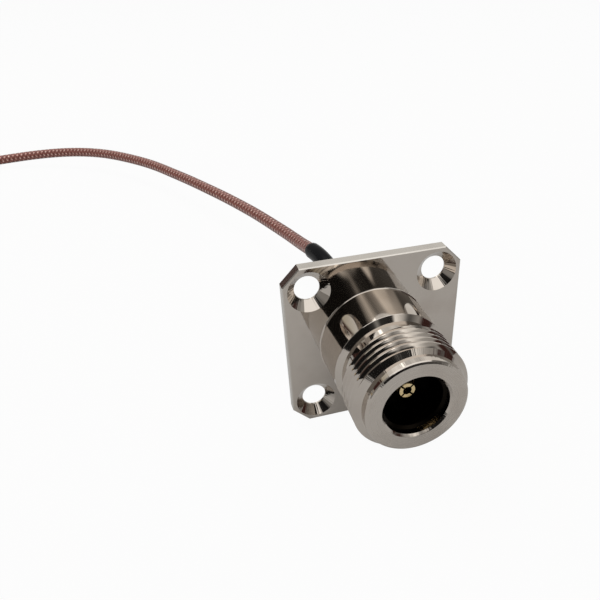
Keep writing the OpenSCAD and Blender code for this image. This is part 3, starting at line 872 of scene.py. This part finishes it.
@dataclass
class Pigtail:
    """The cable with its sleeve and the tied coil.

    The route is across, behind the flange's face and above the floor, and is eased up to a
    stretch before the coil. The coil climbs over itself from the first part of a turn in climb,
    over the second, and is lifted over the tie. The plug's rise is past the coil's middle and
    below the plug's axis.
    """

    diameter: float = 2.5
    start: float = 12.2
    ferrule_end: float = 16.0
    straight: float = 2.0
    coil_x: float = -87.0
    coil_top: float = 145.25
    coil_d: float = 27.5
    coil_turns: float = 1.25
    coil_steps: int = 36
    climb: Pair = (0.76, 0.22)
    wrap_gap: float = 0.03
    floor_gap: float = 0.02
    tie_lift: float = 0.6
    tie_turn: float = 0.125
    tie_spread: float = 0.09
    plug_h: float = 4.0
    plug_jacket: float = 107.7
    plug_rise: tuple[Pair, ...] = ((6.0, 0.15), (12.0, 0.05), (16.0, 0.0), (20.0, 0.0))
    sleeve_start: float = 6.7
    sleeve_end: float = 35.7
    sleeve_r: float = 1.55
    sleeve_wall: float = 0.3
    sleeve_lip: float = 0.5
    sleeve_slack: float = 0.03
    ferrule_r: float = 1.92
    ferrule_slope: float = 1.6
    crimp: Pair = (7.3, 12.3)
    crimp_flat: float = 0.86
    crimp_slope: float = 0.5
    easing: int = 40
    uneased: float = 10.0
    route: list[Point] = field(default_factory=lambda: [
        (0, 22, 12.7), (0, 28, 12.2), (0, 33.5, 11.2), (-0.5, 38.5, 9.6), (-1.5, 47, 8.5),
        (-3, 53, 8), (-4.5, 59, 7.6), (-6.5, 66, 7.3), (-9, 72.5, 7.1), (-11.5, 79, 7),
        (-15, 86.5, 6.9), (-18, 93.5, 6.8), (-21.5, 100.5, 6.6), (-26, 110, 6.4),
        (-32, 119.5, 6), (-40, 130, 5.4), (-50, 138.5, 4.4), (-61, 143.5, 3.2), (-72, 145, 2.2),
        (-79.5, 145.25, 1.6),
    ])

    def coil(self) -> list[Point]:
        """Points round the coil, from its top in plan, anticlockwise."""
        radius = self.coil_d / 2
        middle = self.coil_top - radius
        climb_start, climb_turns = self.climb
        steps = round(self.coil_turns * self.coil_steps)
        points = []
        for i in range(steps + 1):
            turn = self.coil_turns * i / steps
            angle = math.radians(90 + 360 * turn)
            climb = ease((turn - climb_start) / climb_turns)
            lift = self.tie_lift * math.exp(-((turn % 1.0 - self.tie_turn) / self.tie_spread) ** 2)
            up = self.diameter / 2 + self.floor_gap + lift + climb * (self.diameter + self.wrap_gap)
            x = self.coil_x + radius * math.cos(angle)
            points.append((x, middle + radius * math.sin(angle), up))
        return points

    def points(self) -> list[Vector]:
        """The cable's whole centre line, in metres, closely spaced."""
        middle = self.coil_top - self.coil_d / 2
        plug_x = self.coil_x - self.coil_d / 2
        corners = [
            (0, self.start, AXIS_H), (0, self.ferrule_end, AXIS_H), *self.route, *self.coil(),
            *((plug_x, middle - run, self.plug_h - below) for run, below in self.plug_rise),
            (plug_x, self.plug_jacket, self.plug_h),
        ]
        path = self.smoothed([on_jack(*p) for p in corners])
        bend = (FACE_Y + self.ferrule_end + self.straight) * MM
        last = max(i for i, p in enumerate(path) if p.x > (self.coil_x + self.uneased) * MM)
        for _ in range(self.easing):
            eased = [(a + b * 2 + c) / 4 for a, b, c in zip(path, path[1:], path[2:])]
            for i in range(1, last):
                if path[i].y > bend:
                    path[i] = eased[i - 1]
        return path

    @staticmethod
    def smoothed(knots: list[Vector], gap: float = 1.1) -> list[Vector]:
        """Points on a smooth curve through the knots.

        Args:
            knots: points to pass through, in metres.
            gap: about how far apart the result's points are.

        Returns:
            The points, in metres.
        """
        result = [knots[0]]
        for i, (a, b) in enumerate(zip(knots, knots[1:])):
            before = knots[i - 1] if i > 0 else a - (b - a)
            after = knots[i + 2] if i + 2 < len(knots) else b + (b - a)
            length = (b - a).length
            lead = (b - before).normalized() * length
            trail = (after - a).normalized() * length
            steps = max(1, round(length / (gap * MM)))
            for j in range(1, steps + 1):
                t = j / steps
                h1 = 2 * t**3 - 3 * t**2 + 1
                h2 = t**3 - 2 * t**2 + t
                h3 = -2 * t**3 + 3 * t**2
                h4 = t**3 - t**2
                result.append(a * h1 + lead * h2 + b * h3 + trail * h4)
        return result

    @staticmethod
    def tube(name: str, path: list[Vector], radii: list[list[float]], sides: int) -> Piece:
        """A closed tube along a path, with a UV map of turns and metres.

        Args:
            name: the piece's name.
            path: points in metres.
            radii: radii at each point, spread round the tube, in metres.
            sides: faces round the tube.

        Returns:
            The piece.
        """
        mesh = bpy.data.meshes.new(name)
        work = bmesh.new()
        layer = work.loops.layers.uv.new("run")
        angles = [2 * math.pi * j / sides for j in range(sides)]
        rings, runs, run = [], [], 0.0
        for i, centre in enumerate(path):
            way = (path[min(i + 1, len(path) - 1)] - path[max(i - 1, 0)]).normalized()
            side = way.cross(Vector((0, 0, 1))).normalized()
            up = side.cross(way)
            run += (centre - path[i - 1]).length if i else 0.0
            runs.append(run)
            around = [math.cos(angle) * side + math.sin(angle) * up for angle in angles]
            rings.append([
                work.verts.new(centre + radii[i][j % len(radii[i])] * out)
                for j, out in enumerate(around)
            ])
        for i in range(len(rings) - 1):
            for j in range(sides):
                places = ((j, i), (j + 1, i), (j + 1, i + 1), (j, i + 1))
                face = work.faces.new([rings[at][turn % sides] for turn, at in places])
                face.smooth = True
                for loop, (turn, at) in zip(face.loops, places):
                    loop[layer].uv = (turn / sides, runs[at])
        work.faces.new(rings[0])
        work.faces.new(rings[-1])
        bmesh.ops.recalc_face_normals(work, faces=work.faces)
        work.to_mesh(mesh)
        work.free()
        piece = bpy.data.objects.new(name, mesh)
        bpy.context.scene.collection.objects.link(piece)
        return piece

    def build_sleeve(self, cable: list[Vector]) -> Piece:
        """The shrunk sleeve, which shows the shape of the crimp under it.

        Args:
            cable: the cable's centre line, in metres.

        Returns:
            The sleeve.
        """
        gap, rings, sides = 0.25, 38, 48
        path = [on_jack(0, self.sleeve_start + gap * i, AXIS_H) for i in range(rings)]
        near, far = path[-1].y + 0.2 * MM, (FACE_Y + self.sleeve_end) * MM
        path += [p for p in cable if near < p.y < far]
        lengths = [0.0]
        for a, b in zip(path, path[1:]):
            lengths.append(lengths[-1] + (b - a).length / MM)
        radii = []
        for centre, length in zip(path, lengths):
            run = centre.y / MM - FACE_Y
            left = lengths[-1] - length
            radii.append([self.sleeve_radius(run, left, j / sides) * MM for j in range(sides)])
        sleeve = self.tube("shrink_sleeve", path, radii, sides)
        dress(sleeve, SLEEVE.build())
        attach(sleeve, Body.JACK.value)
        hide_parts("heat_shrink")
        return sleeve

    def sleeve_radius(self, run: float, left: float, turn: float) -> float:
        """Radius of the sleeve.

        Args:
            run: distance behind the flange's face.
            left: distance to the sleeve's end.
            turn: place round the sleeve, from 0 to 1.

        Returns:
            The radius.
        """
        full = self.ferrule_r + self.sleeve_wall
        sector = math.radians((turn * 360) % 60 - 30)
        flat = self.ferrule_r * self.crimp_flat / math.cos(sector)
        flat = flat + self.sleeve_wall + self.sleeve_slack
        into = 1.0
        for inside in (run - self.crimp[0], self.crimp[1] - run):
            into *= min(max(inside / self.crimp_slope, 0.0), 1.0)
        over = full + (min(flat, full) - full) * into
        drop = ease((run - self.ferrule_end + 0.2) / self.ferrule_slope)
        radius = over + (self.sleeve_r - over) * drop
        lip = min(left / self.sleeve_lip, 1.0)
        bare = self.diameter / 2 + self.floor_gap
        return radius - (radius - bare) * (1 - math.sqrt(lip * (2 - lip)))

    def build_cable(self, path: list[Vector]) -> Piece:
        """The whole cable, from the crimp through the coil to the plug.

        Args:
            path: its centre line, in metres.

        Returns:
            The cable.
        """
        radii = [[self.diameter / 2 * MM]] * len(path)
        cable = self.tube("cable_run", path, radii, sides=28)
        dress(cable, JACKET.build())
        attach(cable, Body.JACK.value)
        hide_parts("cable", "cable_coil", "cable_tail")
        length = sum((b - a).length for a, b in zip(path, path[1:]))
        log.info("cable is %.1f mm long", length / MM)
        return cable

    def build(self) -> list[Piece]:
        """The sleeve, then the cable that carries it."""
        path = self.points()
        sleeve = self.build_sleeve(path)
        return [sleeve, self.build_cable(path)]


# Studio --


GREEN, BLUE = 0.975, 0.93  # of a warm grey, in parts of its red


@dataclass(frozen=True)
class Sky:
    """What polished metal sees of the room: colour by bearing, in degrees from +Y.

    Args:
        bands: each band's lower edge, in degrees above the floor, and its stops by bearing.
        top: lower edge of what is overhead, in degrees.
        overhead: colour overhead.
        plain: colour that all but polished metal sees.
        strength: how bright that is.
        white: colour that the camera sees.
    """

    bands: tuple[tuple[float, Marks], ...]
    top: float = 50.0
    overhead: Point = (1.25, 1.23, 1.20)
    plain: Point = (0.98, 0.99, 1.0)
    strength: float = 0.48
    white: Point = (0.985, 0.985, 0.985)

    @staticmethod
    def stops(marks: Marks) -> list[tuple[float, Point]]:
        """Ramp stops from bearings, where a single number is the red of a warm grey."""
        return [
            ((bearing + 180) / 360,
             tone if isinstance(tone, tuple) else (tone, GREEN * tone, BLUE * tone))
            for bearing, tone in marks
        ]

    def build(self) -> bpy.types.World:
        """A world that the camera sees as white and polished metal as a lit room."""
        tree = Tree("room", world=True)
        x, y, z = tree.split(tree.node("TexCoord", out="Generated"))
        bearing = x.angle(y) / (2 * math.pi) + 0.5
        height = z.arcsine() * (180 / math.pi)
        seen = None
        for edge, marks in self.bands:
            band = tree.ramp(bearing, self.stops(marks))
            seen = tree.mix(height.smooth(edge - 2, edge + 2), seen, band) if seen else band
        seen = tree.mix(height.smooth(self.top - 3, self.top + 3), seen, self.overhead)
        room, plain, white = (
            tree.node("Background", {0: colour, 1: strength})
            for colour, strength in ((seen, 1.0), (self.plain, self.strength), (self.white, 1.0))
        )
        shown = tree.node("MixShader", {0: tree.ray("Glossy"), 1: plain, 2: room})
        shown = tree.node("MixShader", {0: tree.ray("Camera"), 1: shown, 2: white})
        return tree.finish(shown)


RED = (0.050, 0.022, 0.018)
CREAM = (0.55, 0.51, 0.41)
ROOM = Sky(bands=(
    (-90.0, (
        (-180, 0.01), (-128, 0.01), (-120, 0.30), (-60, 0.20), (-48, RED), (-26, RED),
        (-20, 0.30), (30, 0.30), (35, 0.80), (48, 0.80), (56, 0.40), (92, 0.35), (97, RED),
        (113, RED), (117, 0.15), (121, RED), (128, RED), (132, 0.40), (140, 0.12),
        (160, 0.05), (180, 0.01),
    )),
    (19.0, (
        (-180, 0.30), (-176, 0.04), (-168, 0.01), (-127, 0.01), (-118, 0.25), (-52, 0.25),
        (-44, RED), (-38, CREAM), (-26, 0.70), (-10, 0.80), (28, 0.80), (34, 1.00),
        (42, 0.80), (52, 0.45), (95, 0.15), (112, 0.35), (131, 0.38), (144, 0.48),
        (151, 0.75), (158, 1.20), (161, 0.02), (176, 0.04), (180, 0.30),
    )),
    (30.0, (
        (-180, 0.45), (-174, 0.90), (-168, 0.40), (-163, 0.02), (-127, 0.01), (-118, 0.25),
        (-52, 0.35), (-42, CREAM), (-28, 0.80), (-18, 1.15), (-10, 0.80), (-9, 2.20),
        (-4, 2.20), (-3, 0.75), (8, 0.65), (16, 0.85), (26, 0.55), (33, 0.90), (41, 0.80),
        (52, 0.45), (95, 0.15), (112, 0.40), (128, 0.45), (133, 0.80), (150, 0.95),
        (160, 1.30), (166, 0.50), (176, 0.25), (180, 0.45),
    )),
))


@dataclass(frozen=True)
class Lamp:
    """A soft rectangular lamp that metal doesn't mirror.

    Args:
        name: its name.
        place: where it hangs, in metres.
        size: width and height, in metres.
        power: power in watts.
        aim: the point that it faces, in metres.
    """

    name: str
    place: Point
    size: Pair
    power: float
    aim: Point = (0.0, 0.0, 0.0)

    def build(self) -> None:
        """Puts the lamp in the scene."""
        data = bpy.data.lights.new(self.name, "AREA")
        data.shape = "RECTANGLE"
        data.size, data.size_y = self.size
        data.energy = self.power
        lamp = bpy.data.objects.new(self.name, data)
        bpy.context.scene.collection.objects.link(lamp)
        lamp.location = self.place
        lamp.visible_glossy = False
        way = Vector(self.aim) - Vector(self.place)
        lamp.rotation_euler = way.to_track_quat("-Z", "Y").to_euler()


LAMPS = (
    Lamp("over", (-0.15, 0.25, 0.5), (0.25, 0.3), 1.5),
    Lamp("right", (0.5, 0.2, 0.3), (0.3, 0.4), 0.7, (0, 0, 0.01)),
    Lamp("front", (-0.30, -0.45, 0.35), (0.4, 0.4), 2.6),
)


@dataclass(frozen=True)
class Studio:
    """Floor, world, lamps and camera.

    Args:
        lens: focal length, for a sensor 36 mm wide.
        shift: how far the view is moved, in parts of its width.
        right: the camera's right.
        ahead: where the camera looks.
        place: where it stands from the middle of the flange's face.
        floor_w: width of the floor, in metres.
        middle: the floor's middle, just under the object's foot, in metres.
        paper: the floor's own colour.
        clean: how much of the floor the camera sees as white, and not as lit paper.
        mirrored: the same for polished metal.
    """

    lens: float = 36.24
    shift: Pair = (-0.1, 0.1167)
    right: Point = (0.9496, -0.3135, -0.0075)
    ahead: Point = (0.2467, 0.7614, -0.5995)
    place: Point = (-24.35, -68.35, 48.56)
    floor_w: float = 6.0
    middle: Point = (0.0, 2.83, -0.00002)
    paper: Point = (0.40, 0.395, 0.385)
    clean: float = 0.955
    mirrored: float = 0.10

    def camera(self) -> None:
        """A camera at the height and distance of the view."""
        data = bpy.data.cameras.new("camera")
        data.lens = self.lens
        data.shift_x, data.shift_y = self.shift
        data.clip_start = MM
        camera = bpy.data.objects.new("camera", data)
        bpy.context.scene.collection.objects.link(camera)
        right = Vector(self.right).normalized()
        ahead = Vector(self.ahead).normalized()
        up = right.cross(ahead).normalized()
        place = Vector([a + b for a, b in zip(FACE, self.place)]) * MM
        camera.matrix_world = Matrix((*zip(right, up, -ahead, place), (0.0, 0.0, 0.0, 1.0)))
        bpy.context.scene.camera = camera

    def floor(self) -> None:
        """A pale floor that the camera sees as white, with the object's shadow kept."""
        bpy.ops.object.select_all(action="DESELECT")
        bpy.ops.mesh.primitive_plane_add(size=self.floor_w, location=self.middle)
        floor = Bench.added("floor")
        tree = Tree("floor_paper")
        paper = tree.node("BsdfDiffuse", {"Color": self.paper})
        white = tree.node("Emission", {"Color": (1.0, 1.0, 1.0)})
        seen = tree.ray("Camera") + tree.ray("Transmission")
        share = seen * self.clean + tree.ray("Glossy") * self.mirrored
        tree.finish(tree.node("MixShader", {0: share, 1: paper, 2: white}))
        dress(floor, tree.owner)

    def build(self) -> None:
        """The whole studio, with plain view settings."""
        self.camera()
        self.floor()
        bpy.context.scene.world = ROOM.build()
        for lamp in LAMPS:
            lamp.build()
        bpy.context.scene.view_settings.view_transform = "Standard"


def dress_nodes() -> None:
    """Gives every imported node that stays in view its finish."""
    finishes = {
        BEAD: ("front_insulator", "rear_insulator", "dielectric", "plug_insulator",
               "plug_dielectric"),
        Skin.TURNED.value: ("crimp_stem", "crimp_ferrule"),
        SILVER: ("inner_conductor", "braid", "plug_conductor", "plug_braid"),
        TIE: ("coil_tie",),
        PLUG_GOLD: ("plug_body", "coupling_nut", "plug_ferrule"),
        BRONZE: ("snap_ring",),
        GASKET: ("plug_gasket",),
        GOLD: ("plug_pin",),
        SLEEVE: ("plug_heat_shrink",),
    }
    for finish, nodes in finishes.items():
        material = finish.build()
        for node in nodes:
            dress(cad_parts[node], material)
            log.info("%s is in %s", node, finish.name)


def main() -> None:
    """Builds the studio, then each sub-assembly."""
    logging.basicConfig(level=logging.INFO)
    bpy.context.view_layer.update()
    Studio().build()
    for piece in (*Pigtail().build(), Jack().build(), CentreContact().build()):
        log.info("%s has %d faces", piece.name, len(piece.data.polygons))
    dress_nodes()


if __name__ == "__main__":
    main()
